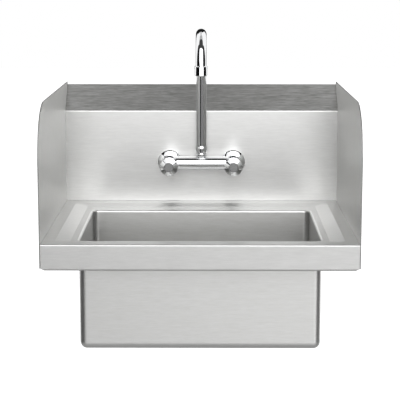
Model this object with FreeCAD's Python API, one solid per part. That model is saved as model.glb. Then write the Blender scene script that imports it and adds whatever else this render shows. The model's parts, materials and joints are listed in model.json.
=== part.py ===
import FreeCAD, Part
import math
import os

from FreeCAD import Vector as V

# Wall-hung hand sink with side splashes and a two-knob gooseneck tap. Sizes in mm.
# The wall is the plane Y = 0, the sink stands out towards -Y, X = 0 is its middle
# and Z = 0 is the height of the wall screws.

# Sheet metal, overall
sink_width = 432.0             # over the side splashes
sink_depth = 394.0             # wall to apron face
sheet = 1.2                    # deck and bowl
panel_sheet = 1.2              # side splashes
panel_gap = 0.3                # deck to side splash
bend_radius = 1.8              # inside radius of the sheet's bends
apron_bend_radius = 0.8        # inside radius where the deck turns down to the apron
cove_radius = 0.8              # inside radius where the deck turns up
hook_bend_radius = 0.8         # inside radius where the ledge turns down

# Apron, backsplash, ledge and hook flange
apron_height = 36.0
apron_return = 14.0
apron_chamfer_width = 5.5
apron_chamfer_height = 3.0
side_flange_height = 31.0
backsplash_height = 143.0
ledge_depth = 45.5             # wall to backsplash face
ledge_rise = 41.0
hook_height = 30.0

# Dished deck
rim_side = 16.8                # flat rim beside the dish
rim_front = 19.0
rim_back = 24.5
dish_slope = 20.0              # width of the dish's sloping border, front and sides
dish_slope_back = 13.0
dish_depth = 3.2
dish_corner_radius = 12.0
dish_floor_radius = 4.0

# Bowl
bowl_width = 332.4
bowl_length = 234.0
bowl_depth = 153.0
bowl_front = 42.6              # apron face to the bowl's inner face
bowl_corner_radius = 9.0
bowl_bottom_radius = 9.0
bowl_edge_radius = 3.0         # where the bowl's mouth turns out to the deck
bowl_lip_flat = 0.3            # level strip between that edge and the deck

# Side splashes
panel_above_ledge = 1.4
panel_corner_radius = 76.0
panel_rear_flange = 15.0
panel_flange_gap = 5.0         # rear flange to hook flange
stud_diameter = 5.0
stud_length = 10.0
stud_count = 3
stud_end_distance = 60.0       # apron face or backsplash to the nearest stud
stud_drop = 17.0               # rim to stud axis
stud_hole_clearance = 0.4
stud_washer_diameter = 12.0
stud_washer_thickness = 1.0
stud_nut_flats = 8.0
stud_nut_thickness = 4.0

# Wall bracket
bracket_length = 340.0
bracket_sheet = 1.5
bracket_below_screws = 16.0
bracket_lip = 17.0
bracket_slot_clearance = 0.3
slot_above_screws = 12.0
wall_screw_spacing = 260.0
wall_screw_hole = 6.5

# Drain
drain_from_rear = 95.0         # bowl's rear face to drain axis
drain_hole = 52.0
drain_recess_diameter = 76.0
drain_recess_depth = 4.0
drain_recess_slope = 4.0
drain_thread = 50.0            # takes the locknut
drain_tail_thread = 47.8       # free end, takes the tailpiece's nut
drain_tail_gap = 1.0           # locknut to the tail's thread
drain_bore = 42.0
drain_flange_diameter = 72.0
drain_flange_thickness = 2.0
drain_neck_clearance = 0.3
drain_neck_length = 4.0        # neck below the flange, inside the hole
drain_gasket_diameter = 66.0
drain_gasket_thickness = 1.5
drain_washer_diameter = 68.0
drain_washer_thickness = 3.0
drain_ring_thickness = 1.0
drain_nut_flats = 62.0
drain_nut_thickness = 8.0
drain_free_thread = 15.0
drain_seat_diameter = 46.6     # counterbore that takes the basket's lip
drain_seat_depth = 2.5
drain_spider_thickness = 3.0
drain_spider_width = 4.0
drain_spider_drop = 28.0       # flange top to spider top
drain_hub_diameter = 10.0

# Strainer basket
basket_clearance = 0.5
basket_wall = 1.0
basket_diameter = 39.0
basket_height = 20.0
basket_lip_thickness = 1.2
basket_hole = 4.0
basket_holes_round = 12
basket_hole_rows = 2
post_diameter = 4.0
post_knob_diameter = 12.0
post_knob_height = 5.0
post_height = 13.0             # basket floor to top of the knob
post_nut_diameter = 8.0
post_nut_thickness = 2.0
post_hub_clearance = 0.3
basket_seal_diameter = 30.0
basket_seal_thickness = 3.0

# Tap body
tap_centres = 100.0            # between the two valves
tap_height = 62.0              # rim to bar axis
tap_standoff = 18.0            # backsplash to bar axis
bar_diameter = 22.2
boss_diameter = 25.6
boss_front = 14.0              # bar axis to the boss's front face
boss_edge = 1.0
waterway = 12.0
chamber_diameter = 19.5
seat_margin = 1.0              # waterway to valve seat

# The tap body's inlet shanks and what clamps them
inlet_shank = 22.0             # through the backsplash, takes the locknut
inlet_thread = 20.9            # free end, takes the supply hose's nut
inlet_thread_gap = 1.0         # locknut to the free end's thread
inlet_bore = 13.0
inlet_behind = 28.0            # length behind the backsplash
inlet_hole_clearance = 0.8
escutcheon_diameter = 37.8
escutcheon_height = 5.0
escutcheon_rim = 1.8
escutcheon_face = 26.0
escutcheon_bulge = 0.55        # 0.5 is a plain cone
shank_washer_diameter = 32.0
shank_washer_thickness = 2.5
shank_nut_flats = 27.0
shank_nut_thickness = 7.0

# Ceramic cartridges
cartridge_fit = 0.05
seal_thickness = 2.2
seal_width = 2.0
disc_thickness = 3.0
disc_gap = 0.05
disc_clearance = 0.3
disc_port_radius = 2.2
sleeve_wall = 1.6
spindle_head_height = 4.2
spindle_diameter = 8.0
spindle_clearance = 0.08
spindle_axial_play = 0.1
drive_peg_diameter = 2.4
drive_peg_length = 1.5
head_channel_width = 5.0
head_channel_depth = 2.6
sleeve_window = 4.0
cartridge_hex_flats = 19.4
cartridge_hex_height = 4.0
stem_ring_section = 1.6
stem_ring_place = 9.0          # bar axis to the stem's ring
square_across = 5.6
square_length = 10.0

# Bonnets and knobs
bonnet_wall = 1.3
bonnet_headroom = 0.4
bonnet_edge = 1.2
bonnet_stem_clearance = 0.6
knob_gap = 0.6                 # bonnet to knob
knob_length = 23.0
knob_back_radius = 12.4
knob_belly_radius = 13.9
knob_belly_place = 20.0        # from the knob's back
knob_belly_edge = 0.6
knob_front_radius = 7.5
knob_web = 1.7
stem_in_knob = 15.5
stem_end_play = 0.2
knob_screw_diameter = 4.0
knob_screw_length = 8.0
knob_screw_head_diameter = 7.0
knob_screw_head_height = 2.2
knob_screw_clearance = 0.3
cap_diameter = 13.3
cap_headroom = 0.4
cap_proud = 1.0
cap_edge = 0.5

# Spout
spout_diameter = 16.0
spout_wall = 1.2
spout_reach = 90.0             # riser axis to outlet axis
spout_arch_height = 159.5      # bar axis to arch centre
neck_diameter = 17.2
neck_height = 22.2             # bar axis to neck top
neck_start = 18.2
neck_base_diameter = 13.8
bead_diameter = 16.5           # round the neck's base, below the nut
bead_top_diameter = 14.6
bead_start = 10.6              # bar axis to the bead
bead_belly = 13.4
bead_end = 17.8
stub_fit = 0.05
stub_diameter = 10.6
stub_flange_gap = 0.05         # neck top to the stub's flange
stub_flange_thickness = 1.3
stub_in_tube = 12.0
stub_bore = 6.6
stub_bottom_gap = 1.0          # waterway to stub
spout_ring_section = 1.3
spout_ring_first = 4.0         # neck top to the upper ring
spout_ring_pitch = 5.0
ring_side_room = 0.2
glide_thickness = 0.9
glide_gap = 0.1
spout_nut_diameter = 18.4
spout_nut_top_diameter = 16.8
spout_nut_crown = 3.8          # height of the nut's rounded top
spout_nut_bulge = 0.68         # 0.5 is a plain cone
spout_nut_above_neck = 0.6     # neck start to the nut's rim
spout_nut_lip = 3.7
spout_nut_clearance = 0.08
spout_flange_clearance = 0.1

# Aerator
aerator_diameter = 20.0        # at its lower end
aerator_top_diameter = 19.5
aerator_edge = 0.9
aerator_height = 14.8
aerator_lip = 1.6
aerator_lip_width = 1.5
aerator_insert_thickness = 4.0
aerator_washer_thickness = 1.5
aerator_hole = 1.6
aerator_fit = 0.05

# Heights and places worked out from the sizes above
slot_z = slot_above_screws
top_z = slot_z + hook_height
rim_z = top_z - ledge_rise - backsplash_height
floor_z = rim_z - dish_depth
apron_bottom = rim_z - apron_height
apron_y = -sink_depth
splash_y = -ledge_depth
half_width = sink_width / 2
panel_inside = half_width - panel_sheet
deck_half = panel_inside - panel_gap
panel_top = top_z + panel_above_ledge
panel_bottom = apron_bottom + apron_chamfer_height
bowl_front_y = apron_y + bowl_front
bowl_rear_y = bowl_front_y + bowl_length
bowl_bottom_z = floor_z - bowl_depth
drain_y = bowl_rear_y - drain_from_rear
bar_y = splash_y - tap_standoff
bar_z = rim_z + tap_height

FRONT = V(0, -1, 0)
BACK = V(0, 1, 0)
UP = V(0, 0, 1)
DOWN = V(0, 0, -1)
RIGHT = V(1, 0, 0)


# Shapes that repeat

def save(name, shape):
    shape.exportStep("parts/" + name + ".step")


def line(a, b):
    return Part.LineSegment(a, b).toShape()


def arc(a, via, b):
    return Part.Arc(a, via, b).toShape()


def rod(diameter, start, length, axis):
    return Part.makeCylinder(diameter / 2, length, start, axis)


def box(x0, x1, y0, y1, z0, z1):
    return Part.makeBox(x1 - x0, y1 - y0, z1 - z0, V(x0, y0, z0))


def aimed(shape, origin, axis):
    shape.Placement = FreeCAD.Placement(origin, FreeCAD.Rotation(UP, axis))
    return shape


# A solid turned about an axis. Points are (radius, distance along the axis), and an arc
# is (radius, distance, radius, distance) for a point on its way and its end.
def turned(profile, origin, axis):
    edges = []
    start = V(profile[0][0], 0, profile[0][1])
    for step in profile[1:] + profile[:1]:
        end = V(step[-2], 0, step[-1])
        if len(step) == 4:
            edges.append(arc(start, V(step[0], 0, step[1]), end))
        else:
            edges.append(line(start, end))
        start = end
    face = Part.Face(Part.Wire(edges))
    return aimed(face.revolve(V(0, 0, 0), UP, 360), origin, axis)


def ring(outer, inner, start, end, origin, axis):
    profile = [(inner / 2, start), (outer / 2, start), (outer / 2, end), (inner / 2, end)]
    return turned(profile, origin, axis)


def rubber_ring(middle_radius, section, along, origin, axis):
    start = origin + axis * along
    return aimed(Part.makeTorus(middle_radius, section / 2), start, axis)


def hexagon(flats, start, end, origin, axis):
    radius = flats / math.sqrt(3)
    angles = [math.radians(30 + 60 * side) for side in range(6)]
    points = [V(radius * math.cos(a), radius * math.sin(a), start) for a in angles]
    face = Part.Face(Part.makePolygon(points + points[:1]))
    return aimed(face.extrude(UP * (end - start)), origin, axis)


# A level outline with rounded corners.
def rounded_outline(x, y0, y1, radius, z):
    edges = []
    k = radius * (1 - math.sqrt(0.5))
    starts = [V(-x + radius, y0, z), V(x, y0 + radius, z),
              V(x - radius, y1, z), V(-x, y1 - radius, z)]
    ends = [V(x - radius, y0, z), V(x, y1 - radius, z),
            V(-x + radius, y1, z), V(-x, y0 + radius, z)]
    middles = [V(x - k, y0 + k, z), V(x - k, y1 - k, z),
               V(-x + k, y1 - k, z), V(-x + k, y0 + k, z)]
    for side in range(4):
        edges.append(line(starts[side], ends[side]))
        edges.append(arc(ends[side], middles[side], starts[(side + 1) % 4]))
    return Part.Wire(edges)


def prism(outline, height):
    return Part.Face(outline).extrude(V(0, 0, height))


# One side of a bent sheet: straight runs joined by arcs.
def bent_edges(points, radii):
    edges = []
    start = points[0]
    for index, radius in enumerate(radii):
        before, corner, after = points[index], points[index + 1], points[index + 2]
        go_in = (corner - before).normalize()
        go_out = (after - corner).normalize()
        half_turn = go_in.getAngle(go_out) / 2
        run = radius * math.tan(half_turn)
        inward = (go_out - go_in).normalize()
        middle = corner + inward * (radius / math.cos(half_turn) - radius)
        edges.append(line(start, corner - go_in * run))
        edges.append(arc(corner - go_in * run, middle, corner + go_out * run))
        start = corner + go_out * run
    edges.append(line(start, points[-1]))
    return edges


# A sheet bent along (y, z) points with its thickness on the right of the way along.
def bent_sheet(path, inside_radii, thickness, x0, x1):
    face_side = [V(x0, y, z) for y, z in path]
    runs = [(b - a).normalize() for a, b in zip(face_side, face_side[1:])]
    rights = [V(0, run.z, -run.y) for run in runs]
    back_side = [face_side[0] + rights[0] * thickness]
    face_radii = []
    back_radii = []
    for index, inside in enumerate(inside_radii):
        before, after = rights[index], rights[index + 1]
        shift = (before + after) * (thickness / (1 + before.dot(after)))
        back_side.append(face_side[index + 1] + shift)
        turns_right = runs[index].dot(after) < 0
        face_radii.append(inside + thickness if turns_right else inside)
        back_radii.append(inside if turns_right else inside + thickness)
    back_side.append(face_side[-1] + rights[-1] * thickness)
    edges = bent_edges(face_side, face_radii)
    edges += bent_edges(back_side, back_radii)
    edges.append(line(face_side[0], back_side[0]))
    edges.append(line(face_side[-1], back_side[-1]))
    face = Part.Face(Part.Wire(Part.__sortEdges__(edges)))
    return face.extrude(V(x1 - x0, 0, 0))


def mirrored(shape):
    return shape.mirror(V(0, 0, 0), RIGHT)


os.makedirs("parts", exist_ok=True)


# Bowl: a box with rounded corners, open at the top, with a recess for the drain

bowl_half = bowl_width / 2
bowl_inside = prism(rounded_outline(bowl_half, bowl_front_y, bowl_rear_y,
                                    bowl_corner_radius, bowl_bottom_z), bowl_depth)
bowl_skin = rounded_outline(bowl_half + sheet, bowl_front_y - sheet, bowl_rear_y + sheet,
                            bowl_corner_radius + sheet, bowl_bottom_z - sheet)
bowl_outside = prism(bowl_skin, bowl_depth + sheet)
lip_width = bowl_edge_radius + bowl_lip_flat
bowl_lip = prism(rounded_outline(bowl_half + lip_width, bowl_front_y - lip_width,
                                 bowl_rear_y + lip_width, bowl_corner_radius + lip_width,
                                 floor_z - sheet), sheet)


def level_edges(solid, z):
    return [e for e in solid.Edges if all(abs(v.Z - z) < 0.001 for v in e.Vertexes)]


bowl_inside = bowl_inside.makeFillet(bowl_bottom_radius, level_edges(bowl_inside, bowl_bottom_z))
bowl_outside = bowl_outside.makeFillet(bowl_bottom_radius + sheet,
                                       level_edges(bowl_outside, bowl_bottom_z - sheet))

drain_axis = V(0, drain_y, bowl_bottom_z)
recess_top = drain_recess_diameter / 2 + drain_recess_slope
recess = turned([(0, 0), (recess_top, 0), (drain_recess_diameter / 2, -drain_recess_depth),
                 (0, -drain_recess_depth)], drain_axis, UP)
recess_skin = recess.copy()
recess_skin.translate(DOWN * sheet)
drain_cut = rod(drain_hole, drain_axis, drain_recess_depth + 2 * sheet, DOWN)

bowl = bowl_outside.fuse([bowl_lip, recess_skin]).cut([bowl_inside, recess, drain_cut])
half_sheet = sheet / 2
mouth = [e for e in level_edges(bowl, floor_z)
         if all(abs(v.X) < bowl_half + half_sheet and bowl_front_y - half_sheet < v.Y
                and v.Y < bowl_rear_y + half_sheet for v in e.Vertexes)]
bowl = bowl.makeFillet(bowl_edge_radius, mouth)
save("bowl", bowl)


# Deck, apron, backsplash, ledge and hook flange: one bent sheet, pressed to a dish

profile = [(apron_y + apron_return, apron_bottom), (apron_y, apron_bottom), (apron_y, rim_z),
           (splash_y, rim_z), (splash_y, rim_z + backsplash_height), (0, top_z), (0, slot_z)]
bends = [bend_radius, apron_bend_radius, cove_radius, bend_radius, hook_bend_radius]
deck = bent_sheet(profile, bends, sheet, -deck_half, deck_half)

side_flange = box(deck_half - sheet, deck_half, apron_y + sheet, splash_y,
                  rim_z - side_flange_height, rim_z - sheet)
dish_half = deck_half - rim_side
dish_front = apron_y + rim_front
dish_back = splash_y - rim_back
dish = Part.makeLoft([rounded_outline(dish_half, dish_front, dish_back, dish_corner_radius, rim_z),
                      rounded_outline(dish_half - dish_slope, dish_front + dish_slope,
                                      dish_back - dish_slope_back, dish_floor_radius, floor_z)],
                     True, True)
dish_skin = dish.copy()
dish_skin.translate(DOWN * sheet)
deck = deck.fuse([side_flange, mirrored(side_flange), dish_skin]).cut([dish, bowl_lip])

chamfer_points = [V(deck_half, apron_y - sheet, apron_bottom),
                  V(deck_half - apron_chamfer_width, apron_y - sheet, apron_bottom),
                  V(deck_half, apron_y - sheet, apron_bottom + apron_chamfer_height)]
chamfer = Part.Face(Part.makePolygon(chamfer_points + chamfer_points[:1]))
chamfer = chamfer.extrude(BACK * (apron_return + 2 * sheet))

stud_z = rim_z - stud_drop
stud_first = apron_y + stud_end_distance
stud_pitch = (splash_y - stud_end_distance - stud_first) / (stud_count - 1)
stud_places = [stud_first + stud_pitch * number for number in range(stud_count)]
stud_holes = [rod(stud_diameter + stud_hole_clearance, V(deck_half - 2 * sheet, y, stud_z),
                  3 * sheet, RIGHT) for y in stud_places]
inlet_holes = [rod(inlet_shank + inlet_hole_clearance, V(side * tap_centres / 2, bar_y, bar_z),
                   tap_standoff + 2 * sheet, BACK) for side in (-1, 1)]
side_cuts = [chamfer] + stud_holes
deck = deck.cut(side_cuts + [mirrored(cut) for cut in side_cuts] + inlet_holes)
save("deck_and_backsplash", deck.removeSplitter())


# Side splashes: flat panels with a rounded front corner, a rear flange and welded studs

corner = panel_corner_radius * (1 - math.sqrt(0.5))
panel_points = [V(panel_inside, apron_y, panel_bottom),
                V(panel_inside, apron_y, panel_top - panel_corner_radius),
                V(panel_inside, apron_y + corner, panel_top - corner),
                V(panel_inside, apron_y + panel_corner_radius, panel_top),
                V(panel_inside, 0, panel_top),
                V(panel_inside, 0, panel_bottom)]
panel_edges = [line(panel_points[0], panel_points[1]), arc(*panel_points[1:4]),
               line(panel_points[3], panel_points[4]), line(panel_points[4], panel_points[5]),
               line(panel_points[5], panel_points[0])]
panel = Part.Face(Part.Wire(panel_edges)).extrude(RIGHT * panel_sheet)
rear_flange = box(panel_inside - panel_rear_flange, panel_inside, -panel_sheet, 0,
                  panel_bottom, slot_z - panel_flange_gap)
studs = [rod(stud_diameter, V(panel_inside - stud_length, y, stud_z), stud_length, RIGHT)
         for y in stud_places]
panel = panel.fuse([rear_flange] + studs).removeSplitter()
save("right_side_splash", panel)
save("left_side_splash", mirrored(panel))

washers = []
nuts = []
for y in stud_places:
    seat = V(deck_half - sheet, y, stud_z)
    washers.append(ring(stud_washer_diameter, stud_diameter + stud_hole_clearance,
                        0, stud_washer_thickness, seat, -RIGHT))
    nut_end = stud_washer_thickness + stud_nut_thickness
    nut = hexagon(stud_nut_flats, stud_washer_thickness, nut_end, seat, -RIGHT)
    nuts.append(nut.cut(rod(stud_diameter, seat, nut_end, -RIGHT)))
save("side_splash_washers", Part.makeCompound(washers + [mirrored(w) for w in washers]))
save("side_splash_nuts", Part.makeCompound(nuts + [mirrored(n) for n in nuts]))


# Wall bracket: a folded strip whose step carries the hook flange

lip_y = -sheet - bracket_slot_clearance
bracket_outline = [(0, -bracket_below_screws), (0, slot_z), (lip_y, slot_z),
                   (lip_y, slot_z + bracket_lip), (lip_y - bracket_sheet, slot_z + bracket_lip),
                   (lip_y - bracket_sheet, slot_z - bracket_sheet),
                   (-bracket_sheet, slot_z - bracket_sheet),
                   (-bracket_sheet, -bracket_below_screws)]
bracket_points = [V(-bracket_length / 2, y, z) for y, z in bracket_outline]
bracket = Part.Face(Part.makePolygon(bracket_points + bracket_points[:1]))
bracket = bracket.extrude(RIGHT * bracket_length)
for side in (-1, 1):
    screw_place = V(side * wall_screw_spacing / 2, 0, 0)
    bracket = bracket.cut(rod(wall_screw_hole, screw_place, 2 * bracket_sheet, FRONT))
save("wall_bracket", bracket)


# Drain: a flanged body clamped through the bowl's recess

gasket_top = drain_gasket_thickness - drain_recess_depth
flange_top = gasket_top + drain_flange_thickness
skin_under = -drain_recess_depth - sheet
washer_under = skin_under - drain_washer_thickness
friction_under = washer_under - drain_ring_thickness
nut_under = friction_under - drain_nut_thickness
tail_start = nut_under - drain_tail_gap
tail_end = nut_under - drain_free_thread
neck_diameter_drain = drain_hole - 2 * drain_neck_clearance
neck_end = gasket_top - drain_neck_length
seat_floor = flange_top - drain_seat_depth
spider_top = flange_top - drain_spider_drop

drain_profile = [(drain_bore / 2, tail_end), (drain_tail_thread / 2, tail_end),
                 (drain_tail_thread / 2, tail_start), (drain_thread / 2, tail_start),
                 (drain_thread / 2, neck_end), (neck_diameter_drain / 2, neck_end),
                 (neck_diameter_drain / 2, gasket_top), (drain_flange_diameter / 2, gasket_top),
                 (drain_flange_diameter / 2, gasket_top + drain_flange_thickness / 2),
                 (drain_seat_diameter / 2 + drain_flange_thickness, flange_top),
                 (drain_seat_diameter / 2, flange_top), (drain_seat_diameter / 2, seat_floor),
                 (drain_bore / 2, seat_floor)]
drain_body = turned(drain_profile, drain_axis, UP)
hub_start = spider_top - drain_spider_thickness
hub = rod(drain_hub_diameter, drain_axis + UP * hub_start, drain_spider_thickness, UP)
spokes = [box(-drain_bore / 2 - sheet, drain_bore / 2 + sheet, -drain_spider_width / 2,
              drain_spider_width / 2, hub_start, spider_top) for _ in range(2)]
spokes[1].rotate(V(0, 0, 0), UP, 90)
for spoke in spokes:
    spoke.translate(drain_axis)
post_hole = post_diameter + 2 * post_hub_clearance
drain_body = drain_body.fuse([hub] + spokes)
drain_body = drain_body.cut(rod(post_hole, drain_axis, -hub_start + sheet, DOWN))
save("drain_body", drain_body.removeSplitter())
save("drain_gasket", ring(drain_gasket_diameter, drain_hole, -drain_recess_depth, gasket_top,
                          drain_axis, UP))
save("drain_rubber_washer", ring(drain_washer_diameter, drain_hole, washer_under, skin_under,
                                 drain_axis, UP))
save("drain_friction_ring", ring(drain_washer_diameter, drain_thread, friction_under, washer_under,
                                 drain_axis, UP))
drain_nut = hexagon(drain_nut_flats, nut_under, friction_under, drain_axis, UP)
drain_nut = drain_nut.cut(rod(drain_thread, drain_axis + UP * nut_under, drain_nut_thickness, UP))
save("drain_locknut", drain_nut)


# Strainer basket: a perforated cup with a post and a seal, lifted out by the post's knob

lip_top = seat_floor + basket_lip_thickness
cup_bottom = lip_top - basket_height
lip_diameter = drain_seat_diameter - 2 * basket_clearance
cup_inside = basket_diameter / 2 - basket_wall
basket = turned([(0, cup_bottom), (basket_diameter / 2, cup_bottom),
                 (basket_diameter / 2, seat_floor), (lip_diameter / 2, seat_floor),
                 (lip_diameter / 2, lip_top), (cup_inside, lip_top),
                 (cup_inside, cup_bottom + basket_wall), (0, cup_bottom + basket_wall)],
                drain_axis, UP)
row_pitch = (basket_height - basket_lip_thickness - basket_wall) / (basket_hole_rows + 1)
row_heights = [cup_bottom + basket_wall + row_pitch * (row + 1) for row in range(basket_hole_rows)]
floor_hole_radius = (basket_seal_diameter / 2 + cup_inside) / 2
drills = [rod(post_diameter, drain_axis + UP * cup_bottom, basket_wall, UP)]
for number in range(basket_holes_round):
    drill_row = [rod(basket_hole, V(0, 0, z), basket_diameter, RIGHT) for z in row_heights]
    drill_row.append(rod(basket_hole / 2, V(floor_hole_radius, 0, cup_bottom), basket_wall, UP))
    for drill in drill_row:
        drill.rotate(V(0, 0, 0), UP, number * 360 / basket_holes_round)
        drill.translate(drain_axis)
    drills += drill_row
basket = basket.cut(drills)
save("strainer_basket", basket)

seal_bottom = cup_bottom - basket_seal_thickness
save("basket_seal", ring(basket_seal_diameter, post_diameter, seal_bottom, cup_bottom,
                         drain_axis, UP))
post_top = cup_bottom + basket_wall + post_height
post_end = spider_top - drain_spider_thickness
post_radius = post_diameter / 2
nut_radius = post_nut_diameter / 2
nut_bottom = seal_bottom - post_nut_thickness
knob_bottom = post_top - post_knob_height
post = turned([(0, post_end), (post_radius, post_end), (post_radius, nut_bottom),
               (nut_radius, nut_bottom), (nut_radius, seal_bottom), (post_radius, seal_bottom),
               (post_radius, knob_bottom),
               (post_knob_diameter / 2, post_top - post_knob_height / 2, post_radius, post_top),
               (0, post_top)], drain_axis, UP)
save("basket_post", post)


# Tap body: a bar with a neck for the spout, and at each end a valve boss with its inlet shank.
# Places along a valve's axis, which points to the front, count from the bar's axis.

boss_back = escutcheon_height - tap_standoff
seat_place = -waterway / 2 - seat_margin
splash_back = -tap_standoff - sheet
shank_end = splash_back - inlet_behind
shank_washer_end = splash_back - shank_washer_thickness
shank_nut_end = shank_washer_end - shank_nut_thickness
thread_start = shank_nut_end - inlet_thread_gap
bar_middle = V(0, bar_y, bar_z)
bar = rod(bar_diameter, bar_middle - RIGHT * (tap_centres / 2), tap_centres, RIGHT)
bead_top_r = bead_top_diameter / 2
neck = turned([(0, 0), (neck_base_diameter / 2, 0), (neck_base_diameter / 2, bead_start),
               (bead_diameter / 2, bead_belly, bead_top_r, bead_end), (bead_top_r, neck_start),
               (neck_diameter / 2, neck_start), (neck_diameter / 2, neck_height),
               (0, neck_height)], bar_middle, UP)
boss_r = boss_diameter / 2
boss_shape = [(0, shank_end), (inlet_thread / 2, shank_end), (inlet_thread / 2, thread_start),
              (inlet_shank / 2, thread_start), (inlet_shank / 2, boss_back),
              (boss_r - boss_edge, boss_back), (boss_r, boss_back + boss_edge),
              (boss_r, boss_front - boss_edge), (boss_r - boss_edge, boss_front), (0, boss_front)]
chamber_shape = [(0, shank_end), (inlet_bore / 2, shank_end), (inlet_bore / 2, seat_place),
                 (chamber_diameter / 2, seat_place), (chamber_diameter / 2, boss_front),
                 (0, boss_front)]
valve_places = {"hot": V(-tap_centres / 2, bar_y, bar_z), "cold": V(tap_centres / 2, bar_y, bar_z)}
bosses = [turned(boss_shape, place, FRONT) for place in valve_places.values()]
chambers = [turned(chamber_shape, place, FRONT) for place in valve_places.values()]
crossway = rod(waterway, bar_middle - RIGHT * (tap_centres / 2), tap_centres, RIGHT)
stub_socket = rod(stub_diameter + 2 * stub_fit, bar_middle, neck_height, UP)
tap_body = bar.fuse([neck] + bosses).cut(chambers + [crossway, stub_socket])
save("tap_body", tap_body.removeSplitter())


# Valves: the same pieces at the hot and the cold side, made about one axis and then placed

sleeve_outside = chamber_diameter - 2 * cartridge_fit
sleeve_bore = sleeve_outside - 2 * sleeve_wall
fixed_start = seat_place + seal_thickness
fixed_end = fixed_start + disc_thickness
moving_start = fixed_end + disc_gap
head_start = moving_start + disc_thickness
head_end = head_start + spindle_head_height
sleeve_step = head_end + spindle_axial_play
stem_bore = spindle_diameter + 2 * spindle_clearance
hex_end = boss_front + cartridge_hex_height
bonnet_inside = hex_end + bonnet_headroom
bonnet_end = bonnet_inside + bonnet_wall
knob_start = bonnet_end + knob_gap
knob_end = knob_start + knob_length
stem_end = knob_start + stem_in_knob
square_start = stem_end - square_length
socket_floor = stem_end + stem_end_play
screw_seat = socket_floor + knob_web
screw_end = screw_seat - knob_screw_length
head_top = screw_seat + knob_screw_head_height
cap_start = head_top + cap_headroom
cap_end = knob_end + cap_proud
disc_diameter = sleeve_bore - 2 * disc_clearance
port_place = disc_diameter / 4


# A rod beside the valve axis, from one place along it to another.
def off_axis(diameter, x, y, start, end):
    return Part.makeCylinder(diameter / 2, end - start, V(x, y, start), UP)


def plain(diameter, start, end):
    return off_axis(diameter, 0, 0, start, end)


def square(size, start, end):
    return box(-size / 2, size / 2, -size / 2, size / 2, start, end)


def make_escutcheon():
    bore = (inlet_shank + inlet_hole_clearance) / 2
    rim = escutcheon_diameter / 2
    face = escutcheon_face / 2
    rim_end = escutcheon_rim - tap_standoff
    way = (face + (rim - face) * escutcheon_bulge,
           rim_end + (boss_back - rim_end) * escutcheon_bulge)
    return turned([(bore, -tap_standoff), (rim, -tap_standoff), (rim, rim_end),
                   way + (face, boss_back), (bore, boss_back)], V(0, 0, 0), UP)


def make_locknut():
    nut = hexagon(shank_nut_flats, shank_nut_end, shank_washer_end, V(0, 0, 0), UP)
    return nut.cut(plain(inlet_shank, shank_nut_end, shank_washer_end))


# The fixed disc's ports lie one above the other, the moving disc's side by side: shut.
def make_discs():
    size = 2 * disc_port_radius
    fixed = plain(disc_diameter, fixed_start, fixed_end)
    fixed = fixed.cut([off_axis(size, 0, y, fixed_start, fixed_end) for y in (-port_place, port_place)])
    moving = plain(disc_diameter, moving_start, head_start)
    cuts = [off_axis(size, x, 0, moving_start, head_start) for x in (-port_place, port_place)]
    cuts += [off_axis(drive_peg_diameter, 0, y, head_start - drive_peg_length, head_start)
             for y in (-port_place, port_place)]
    return fixed, moving.cut(cuts)


def make_cartridge():
    sleeve = plain(sleeve_outside, fixed_start, boss_front)
    sleeve = sleeve.fuse(hexagon(cartridge_hex_flats, boss_front, hex_end, V(0, 0, 0), UP))
    middle = V(0, 0, head_start + spindle_head_height / 2)
    windows = [rod(sleeve_window, middle - axis * chamber_diameter, 2 * chamber_diameter, axis)
               for axis in (RIGHT, BACK)]
    return sleeve.cut([plain(sleeve_bore, fixed_start, sleeve_step),
                       plain(stem_bore, sleeve_step, hex_end)] + windows)


def make_spindle():
    head = plain(sleeve_bore - 2 * spindle_clearance, head_start, head_end)
    channel = box(-sleeve_bore, sleeve_bore, -head_channel_width / 2, head_channel_width / 2,
                  head_start, head_start + head_channel_depth)
    pegs = [off_axis(drive_peg_diameter, 0, y, head_start - drive_peg_length, head_start)
            for y in (-port_place, port_place)]
    stem = plain(spindle_diameter, head_end, square_start)
    end = square(square_across, square_start, stem_end)
    ring_floor = spindle_diameter - 2 * stem_ring_section
    room = stem_ring_section / 2 + ring_side_room / 2
    groove = ring(spindle_diameter, ring_floor, stem_ring_place - room, stem_ring_place + room,
                  V(0, 0, 0), UP)
    screw_hole = plain(knob_screw_diameter, screw_end, stem_end)
    return head.cut(channel).fuse(pegs + [stem, end]).cut([groove, screw_hole]).removeSplitter()


def make_stem_ring():
    middle = (spindle_diameter - stem_ring_section) / 2
    return rubber_ring(middle, stem_ring_section, stem_ring_place, V(0, 0, 0), UP)


def make_bonnet():
    outside = boss_diameter / 2
    hole = spindle_diameter / 2 + bonnet_stem_clearance
    return turned([(outside - bonnet_wall, boss_front), (outside, boss_front),
                   (outside, bonnet_end - bonnet_edge), (outside - bonnet_edge, bonnet_end),
                   (hole, bonnet_end), (hole, bonnet_inside),
                   (outside - bonnet_wall, bonnet_inside)], V(0, 0, 0), UP)


def make_knob():
    belly = knob_start + knob_belly_place
    knob = turned([(0, knob_start), (knob_back_radius, knob_start), (knob_belly_radius, belly),
                   (knob_front_radius, knob_end), (0, knob_end)], V(0, 0, 0), UP)
    knob = knob.makeFillet(knob_belly_edge, level_edges(knob, belly))
    return knob.cut([plain(stem_bore, knob_start, square_start),
                     square(square_across, square_start, socket_floor),
                     plain(knob_screw_diameter + knob_screw_clearance, socket_floor, screw_seat),
                     plain(knob_screw_head_diameter + knob_screw_clearance, screw_seat, cap_start),
                     plain(cap_diameter, cap_start, knob_end)])


def make_knob_screw():
    head = plain(knob_screw_head_diameter, screw_seat, head_top)
    return head.fuse(plain(knob_screw_diameter, screw_end, screw_seat)).removeSplitter()


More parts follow.
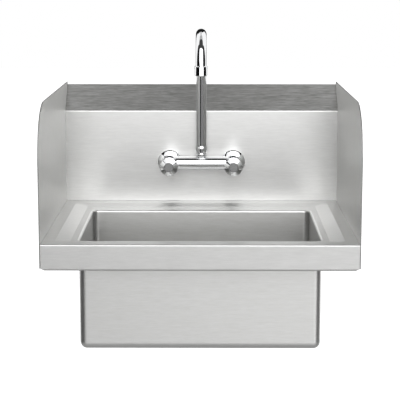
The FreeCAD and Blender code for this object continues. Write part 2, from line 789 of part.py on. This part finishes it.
def make_cap():
    edge = cap_diameter / 2
    return turned([(0, cap_start), (edge, cap_start), (edge, cap_end - cap_edge),
                   (edge - cap_edge, cap_end), (0, cap_end)], V(0, 0, 0), UP)


fixed_disc, moving_disc = make_discs()
valve_pieces = {
    "escutcheon": make_escutcheon(),
    "shank_washer": ring(shank_washer_diameter, inlet_shank, shank_washer_end, splash_back,
                         V(0, 0, 0), UP),
    "shank_locknut": make_locknut(),
    "seat_seal": ring(inlet_bore + 2 * seal_width, inlet_bore, seat_place, fixed_start,
                      V(0, 0, 0), UP),
    "fixed_disc": fixed_disc,
    "moving_disc": moving_disc,
    "cartridge_body": make_cartridge(),
    "spindle": make_spindle(),
    "spindle_o_ring": make_stem_ring(),
    "bonnet": make_bonnet(),
    "knob": make_knob(),
    "knob_screw": make_knob_screw(),
    "index_cap": make_cap(),
}
for side, place in valve_places.items():
    for name, piece in valve_pieces.items():
        placed = piece.copy()
        turn = FreeCAD.Placement(place, FreeCAD.Rotation(UP, FRONT))
        placed.Placement = turn.multiply(piece.Placement)
        save(side + "_" + name, placed)


# Spout: a bent tube on a stub that turns in the neck. Places along it count from the bar's axis.

stub_start = waterway / 2 + stub_bottom_gap
stub_flange_start = neck_height + stub_flange_gap
stub_flange_end = stub_flange_start + stub_flange_thickness
glide_end = stub_flange_end + glide_thickness
lip_start = glide_end + glide_gap
spout_nut_top = lip_start + spout_nut_lip
spout_bore = spout_diameter - 2 * spout_wall
stub_flange = neck_diameter - 2 * spout_flange_clearance
arch_z = bar_z + spout_arch_height
aerator_bottom = arch_z - aerator_height
insert_bottom = aerator_bottom + aerator_lip
insert_top = insert_bottom + aerator_insert_thickness
leg_end = insert_top + aerator_washer_thickness

tube_start = bar_middle + UP * stub_flange_end
annulus = Part.Face([Part.Wire(Part.makeCircle(spout_diameter / 2, V(0, bar_y, arch_z), UP)),
                     Part.Wire(Part.makeCircle(spout_bore / 2, V(0, bar_y, arch_z), UP))])
annulus.validate()
riser = annulus.extrude(DOWN * (arch_z - tube_start.z))
arch = annulus.revolve(V(0, bar_y - spout_reach / 2, arch_z), RIGHT, 180)
leg = ring(spout_diameter, spout_bore, leg_end, arch_z, V(0, bar_y - spout_reach, 0), UP)
save("spout_tube", riser.fuse([arch, leg]).removeSplitter())

ring_middle = stub_diameter / 2 - spout_ring_section / 2
ring_places = [neck_height - spout_ring_first - spout_ring_pitch * number for number in range(2)]
room = spout_ring_section / 2 + ring_side_room / 2
grooves = [ring(stub_diameter, stub_diameter - 2 * spout_ring_section, place - room, place + room,
                bar_middle, UP) for place in ring_places]
stub = turned([(stub_bore / 2, stub_start), (stub_diameter / 2, stub_start),
               (stub_diameter / 2, stub_flange_start), (stub_flange / 2, stub_flange_start),
               (stub_flange / 2, stub_flange_end), (spout_bore / 2, stub_flange_end),
               (spout_bore / 2, stub_flange_end + stub_in_tube),
               (stub_bore / 2, stub_flange_end + stub_in_tube)], bar_middle, UP)
save("spout_stub", stub.cut(grooves))
save("spout_o_rings", Part.makeCompound([rubber_ring(ring_middle, spout_ring_section, place,
                                                     bar_middle, UP) for place in ring_places]))
save("spout_glide_ring", ring(stub_flange, spout_diameter, stub_flange_end, glide_end,
                              bar_middle, UP))

lip_bore = spout_diameter / 2 + spout_nut_clearance
spout_nut_bottom = neck_start + spout_nut_above_neck
spout_nut_r = spout_nut_diameter / 2
spout_nut_top_r = spout_nut_top_diameter / 2
crown_way = (spout_nut_top_r + (spout_nut_r - spout_nut_top_r) * spout_nut_bulge,
             spout_nut_top - spout_nut_crown / 2)
save("spout_nut", turned([(neck_diameter / 2, spout_nut_bottom), (spout_nut_r, spout_nut_bottom),
                          (spout_nut_r, spout_nut_top - spout_nut_crown),
                          crown_way + (spout_nut_top_r, spout_nut_top),
                          (lip_bore, spout_nut_top), (lip_bore, lip_start),
                          (neck_diameter / 2, lip_start)], bar_middle, UP))


# Aerator: a collar on the spout's end that holds a washer and a perforated insert

outlet = V(0, bar_y - spout_reach, 0)
aerator_bore = spout_diameter + 2 * aerator_fit
lip_opening = aerator_bore - 2 * aerator_lip_width
aerator_r = aerator_diameter / 2
aerator_top_r = aerator_top_diameter / 2
save("aerator_housing", turned([(lip_opening / 2, aerator_bottom),
                                (aerator_r - aerator_edge, aerator_bottom),
                                (aerator_r, aerator_bottom + aerator_edge),
                                (aerator_top_r, arch_z - aerator_edge),
                                (aerator_top_r - aerator_edge, arch_z), (aerator_bore / 2, arch_z),
                                (aerator_bore / 2, insert_bottom),
                                (lip_opening / 2, insert_bottom)], outlet, UP))
save("aerator_washer", ring(spout_diameter, lip_opening, insert_top, leg_end, outlet, UP))

insert = rod(spout_diameter, outlet + UP * insert_bottom, aerator_insert_thickness, UP)
jets = [rod(aerator_hole, outlet + UP * insert_bottom, aerator_insert_thickness, UP)]
for circle in (1, 2):
    for number in range(6 * circle):
        jet = rod(aerator_hole, V(circle * lip_opening / 6, 0, insert_bottom),
                  aerator_insert_thickness, UP)
        jet.rotate(V(0, 0, 0), UP, number * 60 / circle)
        jet.translate(outlet)
        jets.append(jet)
save("aerator_insert", insert.cut(jets))
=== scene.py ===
import json
import math

import bpy
import numpy as np
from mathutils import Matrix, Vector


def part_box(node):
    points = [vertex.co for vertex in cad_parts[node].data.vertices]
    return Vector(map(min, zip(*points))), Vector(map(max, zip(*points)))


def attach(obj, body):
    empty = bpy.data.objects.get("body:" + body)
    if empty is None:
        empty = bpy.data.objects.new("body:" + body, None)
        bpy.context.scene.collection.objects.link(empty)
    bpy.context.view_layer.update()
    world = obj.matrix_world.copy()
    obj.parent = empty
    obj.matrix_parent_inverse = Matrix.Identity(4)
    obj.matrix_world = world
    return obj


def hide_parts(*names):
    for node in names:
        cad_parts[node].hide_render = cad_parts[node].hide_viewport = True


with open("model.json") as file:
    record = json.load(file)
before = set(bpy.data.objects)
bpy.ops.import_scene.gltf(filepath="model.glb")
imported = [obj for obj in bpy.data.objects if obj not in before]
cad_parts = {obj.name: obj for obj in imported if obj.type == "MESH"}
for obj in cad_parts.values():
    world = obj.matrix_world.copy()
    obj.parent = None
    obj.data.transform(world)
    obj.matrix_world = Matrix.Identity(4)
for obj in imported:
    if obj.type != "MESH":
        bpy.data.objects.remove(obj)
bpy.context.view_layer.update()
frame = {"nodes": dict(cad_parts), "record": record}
nodes = frame["nodes"]
scene = bpy.context.scene
scene.view_settings.view_transform = "Standard"
print("frame loaded,", len(nodes), "nodes")


# sRGB hex to linear RGBA
def linearColour(hexText):
    srgb = np.array([int(hexText[i:i + 2], 16) for i in (1, 3, 5)]) / 255
    linear = np.where(srgb <= 0.04045, srgb / 12.92, ((srgb + 0.055) / 1.055) ** 2.4)
    return (*[float(v) for v in linear], 1.0)


# one shader node: its settings, the values on its sockets and the links into them
def addNode(tree, kind, values=None, links=None, **settings):
    node = tree.nodes.new("ShaderNode" + kind)
    for name, value in settings.items():
        setattr(node, name, value)
    for socket, value in (values or {}).items():
        node.inputs[socket].default_value = value
    for socket, source in (links or {}).items():
        tree.links.new(source, node.inputs[socket])
    return node


# the node tree of a material or world, cleared
def emptyTree(owner):
    owner.use_nodes = True
    owner.node_tree.nodes.clear()
    return owner.node_tree


# Camera, at the photo's viewing point

cameraSet = {
    "place": (0.01219, -2.16555, 0.22740),
    "pitchDown": 9.870,
    "turnLeft": 0.391,
    "lens": 121.53,
    "sensor": 36,
    "clip": (0.05, 60),
}


def makeCamera():
    camera = bpy.data.cameras.new("studioCamera")
    camera.sensor_width = cameraSet["sensor"]
    camera.lens = cameraSet["lens"]
    camera.clip_start, camera.clip_end = cameraSet["clip"]
    holder = bpy.data.objects.new("studioCamera", camera)
    holder.location = cameraSet["place"]
    upFromDown = math.radians(90 - cameraSet["pitchDown"])
    holder.rotation_euler = (upFromDown, 0, math.radians(cameraSet["turnLeft"]))
    scene.collection.objects.link(holder)
    scene.camera = holder


makeCamera()
print("camera placed")


# Studio: white world and floor, one big soft box in front, and cards that only shiny surfaces see

studio = {
    "floorZ": -1.0,
    "floorHalf": 14.0,
    "paper": "#EFEFEF",
    "paperGlow": 0.62,         # makes the floor white to the camera and in reflections
    "softBoxRadiance": 1.82,
    "softBoxX": (-0.75, 1.5),
    "softBoxY": -2.0,
    "softBoxZ": (-0.087, 2.9),
    "fillWorld": 0.75,
    # square cards: X, Y and Z, one of them a single number, then the brightness, or the two
    # brightnesses at the left and at the right
    "squareCards": {
        "ceilingStrip": ((-0.1, 0.05), (0.25, 0.9), 1.1, 0.06),
        "backCard": ((-0.8, 0.5), 1.2, (0.12, 1.5), 0.01),
        "backLow": ((-1.0, 0.9), 1.2, (-0.25, 0.12), 0.05),
        "frontBand": ((-3, 3.4), -2.02, (-0.45, -0.08), 0.21),
        "leftBand": (-1.25, (-0.8, -0.1), (-0.41, -0.03), 0.3),
        "leftBandFront": (-1.25, (-2.0, -0.8), (-0.41, -0.03), 0.05),
        "rightBand": (1.55, (-2.0, -0.1), (-0.25, -0.03), 0.17),
        "rightBandLow": (1.55, (-2.0, -0.1), (-0.41, -0.25), 0.35),
        "darkStand": ((-1.5, -0.35), -1.98, (-0.36, -0.08), 0.02),
        "lowFront": ((-1.2, 1.5), -2.02, (-0.98, -0.45), (0.48, 1.62)),
        "lowFloor": ((-1.2, 1.5), (-2.02, -1.2), -0.98, (0.5, 0.9)),
        "underFloor": ((-1.2, 1.5), (-1.2, 0.4), -0.98, 0.38),
        "leftWing": (-1.25, (-2.0, 0.3), (-0.70, -0.41), 0.03),
        "rightWing": (1.55, (-2.0, 0.3), (-0.62, -0.41), 0.03),
        "leftLow": (-1.25, (-2.0, 0.3), (-0.98, -0.70), 0.1),
        "rightLow": (1.55, (-2.0, 0.3), (-0.98, -0.62), 0.17),
    },
    # cards cut to a shape: the corners in order, then the brightness
    "cutCards": {
        "ceilingCard": ([(-1.1, -0.8, 1.1), (1.1, -0.8, 1.1),
                         (0.45, -0.1, 1.1), (-0.45, -0.1, 1.1)], 0.06),
        "ceilingBack": ([(-0.45, -0.1, 1.1), (0.45, -0.1, 1.1),
                         (0.26, 0.25, 1.1), (-0.26, 0.25, 1.1)], 0.45),
        "leftCard": ([(-0.755, -1.98, -0.09), (-1.244, 0.03, -0.03), (-1.244, 0.03, 0.14),
                      (-1.207, -0.12, 0.66), (-1.183, -0.22, 1.42), (-0.981, -1.05, 2.01),
                      (-0.962, -1.13, 1.03), (-0.91, -1.34, 0.46)], 0.005),
        "rightCard": ([(1.5, -1.9, -0.115), (1.5, 0.22, -0.05), (1.5, 0.22, 0.16), (1.5, -0.02, 0.69),
                       (1.5, -0.17, 1.19), (1.5, -0.38, 1.82), (1.5, -0.81, 2.28), (1.5, -1.08, 1.99),
                       (1.5, -1.36, 1.47), (1.5, -1.82, 0.59)], 0.015),
    },
}


# a flat sheet for the studio, from its corners in order
def stageSheet(name, corners, material):
    mesh = bpy.data.meshes.new(name)
    mesh.from_pydata(corners, [], [tuple(range(len(corners)))])
    mesh.materials.append(material)
    sheet = bpy.data.objects.new(name, mesh)
    scene.collection.objects.link(sheet)
    return sheet


# corners of a square card, which is flat in the direction given as a single number
def cardCorners(*spans):
    flat = next(i for i, span in enumerate(spans) if not isinstance(span, tuple))
    first, second = [i for i in range(3) if i != flat]
    corners = []
    for along, up in ((0, 0), (1, 0), (1, 1), (0, 1)):
        corner = [spans[flat]] * 3
        corner[first], corner[second] = spans[first][along], spans[second][up]
        corners.append(tuple(corner))
    return corners


# 1 for rays from the camera and off or through shiny surfaces, 0 for rays off matt ones
def cameraOrShiny(tree):
    path = addNode(tree, "LightPath").outputs
    seen = addNode(tree, "Math", links={0: path["Is Camera Ray"], 1: path["Is Glossy Ray"]},
                   operation="MAXIMUM").outputs[0]
    return addNode(tree, "Math", links={0: seen, 1: path["Is Transmission Ray"]},
                   operation="MAXIMUM").outputs[0]


# Backdrop paper: white to the camera and in reflections, pale and matt to the light that falls on it,
# clear from below
def backdropPaper():
    material = bpy.data.materials.new("backdropPaper")
    tree = emptyTree(material)
    glow = addNode(tree, "Math", {1: studio["paperGlow"]}, {0: cameraOrShiny(tree)}, operation="MULTIPLY")
    paper = addNode(tree, "BsdfDiffuse", {"Color": linearColour(studio["paper"])})
    light = addNode(tree, "Emission", links={"Strength": glow.outputs[0]})
    both = addNode(tree, "AddShader", links={0: paper.outputs[0], 1: light.outputs[0]})
    clear = addNode(tree, "BsdfTransparent")
    side = addNode(tree, "NewGeometry")
    mixed = addNode(tree, "MixShader", links={0: side.outputs["Backfacing"], 1: both.outputs[0],
                                              2: clear.outputs[0]})
    addNode(tree, "OutputMaterial", links={"Surface": mixed.outputs[0]})
    return material


# Painted card: where two brightnesses are given, it runs evenly from left to right
def cardPaint(name, corners, brightness):
    left, right = brightness if isinstance(brightness, tuple) else (brightness, brightness)
    across = [corner[0] for corner in corners]
    spare = 0.001    # so that the range isn't empty on a card that faces sideways
    material = bpy.data.materials.new(name + "Paint")
    tree = emptyTree(material)
    place = addNode(tree, "SeparateXYZ", links={0: addNode(tree, "TexCoord").outputs["Object"]})
    level = addNode(tree, "MapRange", {"From Min": min(across), "From Max": max(across) + spare,
                                       "To Min": left, "To Max": right}, {"Value": place.outputs[0]})
    light = addNode(tree, "Emission", links={"Strength": level.outputs[0]})
    addNode(tree, "OutputMaterial", links={"Surface": light.outputs[0]})
    return material


# a card casts no shadow and lights no matt surface
def hangCard(name, corners, brightness):
    card = stageSheet(name, corners, cardPaint(name, corners, brightness))
    card.visible_camera = False
    card.visible_diffuse = False
    card.visible_shadow = False
    card.visible_volume_scatter = False


def makeStudio():
    half, z = studio["floorHalf"], studio["floorZ"]
    stageSheet("paperFloor", cardCorners((-half, half), (-half, half), z), backdropPaper())

    world = bpy.data.worlds.new("whiteStudio")
    scene.world = world
    tree = emptyTree(world)
    level = addNode(tree, "MapRange", {"To Min": studio["fillWorld"], "To Max": 1.0},
                    {"Value": cameraOrShiny(tree)})
    sky = addNode(tree, "Background", {"Color": (1, 1, 1, 1)}, {"Strength": level.outputs[0]})
    addNode(tree, "OutputWorld", links={"Surface": sky.outputs[0]})

    x0, x1 = studio["softBoxX"]
    z0, z1 = studio["softBoxZ"]
    lamp = bpy.data.lights.new("frontSoftBox", "AREA")
    lamp.shape = "RECTANGLE"
    lamp.size = x1 - x0
    lamp.size_y = z1 - z0
    lamp.energy = studio["softBoxRadiance"] * math.pi * lamp.size * lamp.size_y
    box = bpy.data.objects.new("frontSoftBox", lamp)
    box.location = ((x0 + x1) / 2, studio["softBoxY"], (z0 + z1) / 2)
    box.rotation_euler = (math.radians(90), 0, 0)
    box.visible_camera = False
    scene.collection.objects.link(box)

    for name, (corners, brightness) in studio["cutCards"].items():
        hangCard(name, corners, brightness)
    for name, (*spans, brightness) in studio["squareCards"].items():
        hangCard(name, cardCorners(*spans), brightness)


makeStudio()
print("studio lit")


# Brushed 304 stainless sheet: rolled, then belt-ground in one direction. The eye sees a soft, grey
# shine that is drawn out across the grain, with short streaks along it, which show most on the ledge,
# where the light comes at a slant. There the dark streaks are painted darker still, as painted shade.
# Real grit lines are 0.05 to 0.2 mm wide and would not show here, so the streaks are drawn about
# 1.5 mm wide and 13 mm long, with wider bands among them.
brushedSheet = {
    "name": "brushedStainlessSheet",
    "colour": "#D0D0CF",
    "darkStreak": "#C7C7C6",
    # on the ledge the dark streaks take this darker colour: painted shade for the slanting light
    "ledgeShadedStreak": "#9C9C99",
    "streak": (0.013, 0.0015),     # length along the grain and width
    "band": (0.032, 0.0034),
    "bandShare": 0.45,
    "toneRange": (0.32, 0.68),     # the part of the noise that runs from dark to pale
    "roughRange": (0.25, 0.75),    # the part that runs from fine to rough
    "roughness": (0.31, 0.37),
    "drawnOut": 0.5,
    "bump": 0.00002,
    "sideFacing": 0.7,             # faces turned at least this far left or right have upright grain
    "ledgeFacing": (0.74, 0.08),   # how far the ledge faces up, and the margin
}
# the bowl is ground before it is welded in, and its shine is drawn out less
# its colour and dark streak are painted a little lighter than the sheet's: painted light
brushedBowl = {**brushedSheet, "name": "brushedStainlessBowl", "colour": "#DBDBDA",
               "darkStreak": "#D2D2D0", "drawnOut": 0.35}
# the side splashes are ground upright and less finely, so they reflect more softly; their edges
# are painted darker, as painted shade
# the panels' colour and dark streak are a much lighter copy of the sheet's: painted light
brushedPanel = {**brushedSheet, "name": "brushedStainlessPanel", "colour": "#F2F2F0",
                "darkStreak": "#EAEAE8", "roughness": (0.39, 0.45), "drawnOut": 0.7, "shadedEdge": "#7C7C7C"}


def brushedStainless(settings):
    material = bpy.data.materials.new(settings["name"])
    tree = emptyTree(material)
    place = addNode(tree, "TexCoord").outputs["Object"]
    facing = addNode(tree, "NewGeometry").outputs["Normal"]
    part = addNode(tree, "SeparateXYZ", links={0: facing}).outputs
    sideways = addNode(tree, "Math", links={0: part[0]}, operation="ABSOLUTE").outputs[0]
    onSide = addNode(tree, "Math", {1: settings["sideFacing"]}, {0: sideways},
                     operation="GREATER_THAN").outputs[0]
    ledgeUp, ledgeMargin = settings["ledgeFacing"]
    onShadedLedge = addNode(tree, "Math", {1: ledgeUp, 2: ledgeMargin}, {0: part[2]},
                      operation="COMPARE").outputs[0]

    # noise stretched along X, or along Z on the sides
    def grain(length, width):
        alongX = addNode(tree, "VectorMath", {1: (1 / length, 1 / width, 1 / width)}, {0: place},
                         operation="MULTIPLY")
        alongZ = addNode(tree, "VectorMath", {1: (1 / width, 1 / width, 1 / length)}, {0: place},
                         operation="MULTIPLY")
        either = addNode(tree, "Mix", links={"Factor": onSide, 4: alongX.outputs[0], 5: alongZ.outputs[0]},
                         data_type="VECTOR")
        return addNode(tree, "TexNoise", {"Scale": 1.0, "Detail": 2.0, "Roughness": 0.6},
                       {"Vector": either.outputs[1]}).outputs["Fac"]

    streak, band = grain(*settings["streak"]), grain(*settings["band"])
    mixed = addNode(tree, "Mix", {"Factor": settings["bandShare"]}, {2: streak, 3: band}).outputs[0]
    darkest, palest = settings["toneRange"]
    tone = addNode(tree, "MapRange", {"From Min": darkest, "From Max": palest}, {"Value": mixed})
    # the dark streak tone, painted darker on the ledge as painted shade
    dark = addNode(tree, "Mix", {6: linearColour(settings["darkStreak"]),
                                 7: linearColour(settings["ledgeShadedStreak"])},
                   {"Factor": onShadedLedge}, data_type="RGBA")
    colour = addNode(tree, "Mix", {7: linearColour(settings["colour"])},
                     {"Factor": tone.outputs[0], 6: dark.outputs[2]}, data_type="RGBA")
    # faces of the panels that don't face sideways are painted darker: painted shade
    if "shadedEdge" in settings:
        onShadedEdge = addNode(tree, "Math", {1: settings["sideFacing"]}, {0: sideways}, operation="LESS_THAN")
        colour = addNode(tree, "Mix", {7: linearColour(settings["shadedEdge"])},
                         {"Factor": onShadedEdge.outputs[0], 6: colour.outputs[2]}, data_type="RGBA")
    low, high = settings["roughness"]
    finest, roughest = settings["roughRange"]
    rough = addNode(tree, "MapRange", {"From Min": finest, "From Max": roughest,
                                       "To Min": low, "To Max": high}, {"Value": streak})
    bump = addNode(tree, "Bump", {"Strength": 1.0, "Distance": settings["bump"]}, {"Height": mixed})
    along = addNode(tree, "Mix", {4: (1, 0, 0), 5: (0, 0, 1)}, {"Factor": onSide}, data_type="VECTOR")
    across = addNode(tree, "VectorMath", links={0: facing, 1: along.outputs[1]},
                     operation="CROSS_PRODUCT")
    metal = addNode(tree, "BsdfPrincipled", {"Metallic": 1.0, "Anisotropic": settings["drawnOut"]},
                    {"Base Color": colour.outputs[2], "Roughness": rough.outputs[0],
                     "Normal": bump.outputs[0], "Tangent": across.outputs[0]})
    addNode(tree, "OutputMaterial", links={"Surface": metal.outputs[0]})
    return material


# Chrome plate on polished brass: a mirror, very slightly blue, with faint polishing haze in patches
# of about 12 mm
chromePlate = {"name": "polishedChromePlate", "colour": "#F6F7F8", "haze": 0.012, "roughness": (0.02, 0.05)}
# where most values of plain noise lie
noiseSpread = {"From Min": 0.3, "From Max": 0.7}


def polishedChrome(settings):
    material = bpy.data.materials.new(settings["name"])
    tree = emptyTree(material)
    place = addNode(tree, "TexCoord").outputs["Object"]
    cloud = addNode(tree, "TexNoise", {"Scale": 1 / settings["haze"], "Detail": 3.0}, {"Vector": place})
    low, high = settings["roughness"]
    rough = addNode(tree, "MapRange", {**noiseSpread, "To Min": low, "To Max": high},
                    {"Value": cloud.outputs["Fac"]})
    metal = addNode(tree, "BsdfPrincipled", {"Metallic": 1.0, "Base Color": linearColour(settings["colour"])},
                    {"Roughness": rough.outputs[0]})
    addNode(tree, "OutputMaterial", links={"Surface": metal.outputs[0]})
    return material


# Other finishes: each has a speckled tone and roughness, with its grain in metres
speckledFinishes = {
    # cold grey with the dull sheen of the mill
    "plain_steel": {"name": "rolledMildSteel", "colour": "#C4C5C5", "dark": "#A9ABAC", "grain": 0.002,
                    "roughness": (0.35, 0.5), "bump": 0.00002, "metallic": 1.0},
    # pale and nearly polished, from the spinning tool
    "drain_steel": {"name": "spunStainless", "colour": "#D2D2D0", "dark": "#BCBCBB", "grain": 0.003,
                    "roughness": (0.2, 0.3), "bump": 0.00001, "metallic": 1.0},
    # mid grey with a soft, even shine
    "satin_plate": {"name": "satinNickelPlate", "colour": "#989898", "dark": "#868686", "grain": 0.001,
                    "roughness": (0.3, 0.42), "bump": 0.00001, "metallic": 1.0},
    # yellow, bright where it was turned and dull between
    "bare_brass": {"name": "machinedBrass", "colour": "#D8B469", "dark": "#B58F48", "grain": 0.0015,
                   "roughness": (0.25, 0.4), "bump": 0.00002, "metallic": 1.0},
    # nearly black and matt
    "black_rubber": {"name": "mouldedNitrileRubber", "colour": "#2A2A2B", "dark": "#1C1C1D",
                     "grain": 0.0008, "roughness": (0.6, 0.8), "bump": 0.00004, "metallic": 0.0},
    # brown, dry and mottled
    "fibre_ring": {"name": "pressedFibreBoard", "colour": "#A86A4C", "dark": "#7E4A33", "grain": 0.0015,
                   "roughness": (0.7, 0.9), "bump": 0.00005, "metallic": 0.0},
    # creamy white and nearly glossy
    "white_ceramic": {"name": "lappedAlumina", "colour": "#F2F1EC", "dark": "#E6E4DD", "grain": 0.002,
                      "roughness": (0.12, 0.22), "bump": 0.000005, "metallic": 0.0},
    # milky white with a waxy sheen
    "white_plastic": {"name": "mouldedAcetal", "colour": "#EDEDEA", "dark": "#DEDEDA", "grain": 0.0015,
                      "roughness": (0.35, 0.5), "bump": 0.00001, "metallic": 0.0},
}


def speckled(settings):
    material = bpy.data.materials.new(settings["name"])
    tree = emptyTree(material)
    place = addNode(tree, "TexCoord").outputs["Object"]
    grain = addNode(tree, "TexNoise", {"Scale": 1 / settings["grain"], "Detail": 4.0},
                    {"Vector": place}).outputs["Fac"]
    tone = addNode(tree, "MapRange", noiseSpread, {"Value": grain})
    colour = addNode(tree, "Mix", {6: linearColour(settings["dark"]), 7: linearColour(settings["colour"])},
                     {"Factor": tone.outputs[0]}, data_type="RGBA")
    low, high = settings["roughness"]
    rough = addNode(tree, "MapRange", {"To Min": low, "To Max": high}, {"Value": grain})
    bump = addNode(tree, "Bump", {"Strength": 0.4, "Distance": settings["bump"]}, {"Height": grain})
    body = addNode(tree, "BsdfPrincipled", {"Metallic": settings["metallic"]},
                   {"Base Color": colour.outputs[2], "Roughness": rough.outputs[0],
                    "Normal": bump.outputs[0]})
    addNode(tree, "OutputMaterial", links={"Surface": body.outputs[0]})
    return material


finishes = {slot: speckled(settings) for slot, settings in speckledFinishes.items()}
finishes["brushed_stainless"] = brushedStainless(brushedSheet)
finishes["chrome_plate"] = polishedChrome(chromePlate)
panelFinish = brushedStainless(brushedPanel)
ownFinish = {"left_side_splash": panelFinish, "right_side_splash": panelFinish,
             "bowl": brushedStainless(brushedBowl)}
for part in frame["record"]["subparts"]:
    mesh = nodes[part["node"]].data
    mesh.materials.clear()
    mesh.materials.append(ownFinish.get(part["node"], finishes[part["material_slot"]]))
print("finishes on", len(nodes), "nodes")


# Gooseneck: one drawn tube with an even, fine mesh. Ring centres run up the riser, round a half circle
# and a little way down the front leg; each ring is a circle square to that path.
gooseneck = {"wall": 0.0012, "sides": 96, "archRings": 180}


def drawnGooseneck():
    low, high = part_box("spout_tube")
    radius = (high.x - low.x) / 2
    riserY, legY = high.y - radius, low.y + radius
    reach = (riserY - legY) / 2
    turn = np.concatenate([[0.0], np.linspace(0, math.pi, gooseneck["archRings"]), [math.pi]])
    centreY = (riserY + legY) / 2 + reach * np.cos(turn)
    centreZ = high.z - radius - reach + reach * np.sin(turn)
    centreZ[0], centreZ[-1] = low.z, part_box("aerator_washer")[1].z
    rings, sides = len(turn), gooseneck["sides"]
    around = np.linspace(0, 2 * math.pi, sides, endpoint=False)

    def skin(size):
        out = size * np.sin(around)
        x = np.broadcast_to(size * np.cos(around), (rings, sides))
        return np.stack([x, centreY[:, None] + np.cos(turn)[:, None] * out,
                         centreZ[:, None] + np.sin(turn)[:, None] * out], axis=-1)

    outside, bore = skin(radius), skin(radius - gooseneck["wall"])
    corner = np.arange((rings - 1) * sides).reshape(rings - 1, sides)
    beside = np.roll(corner, -1, axis=1)
    skinFaces = np.stack([corner, beside, beside + sides, corner + sides], axis=-1).reshape(-1, 4)
    rim = np.arange(sides)
    nextRim = np.roll(rim, -1)
    endFaces = np.stack([rim, rim + sides, nextRim + sides, nextRim], axis=-1)
    # the two skins share no corners with the end faces, so the ends keep a crisp edge
    sheets = [(outside, skinFaces), (bore, skinFaces[:, ::-1]),
              (np.stack([outside[0], bore[0]]), endFaces),
              (np.stack([outside[-1], bore[-1]]), endFaces[:, ::-1])]
    points = np.concatenate([places.reshape(-1, 3) for places, faces in sheets])
    starts = np.cumsum([0] + [places.size // 3 for places, faces in sheets])
    quads = np.concatenate([faces + start for (places, faces), start in zip(sheets, starts)])
    mesh = bpy.data.meshes.new("drawnGooseneck")
    mesh.from_pydata(points.tolist(), [], quads.tolist())
    mesh.polygons.foreach_set("use_smooth", np.ones(len(quads), dtype=bool))
    mesh.materials.append(finishes["chrome_plate"])
    tube = bpy.data.objects.new("drawnGooseneck", mesh)
    scene.collection.objects.link(tube)
    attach(tube, "spout")
    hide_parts("spout_tube")


drawnGooseneck()
print("gooseneck drawn")
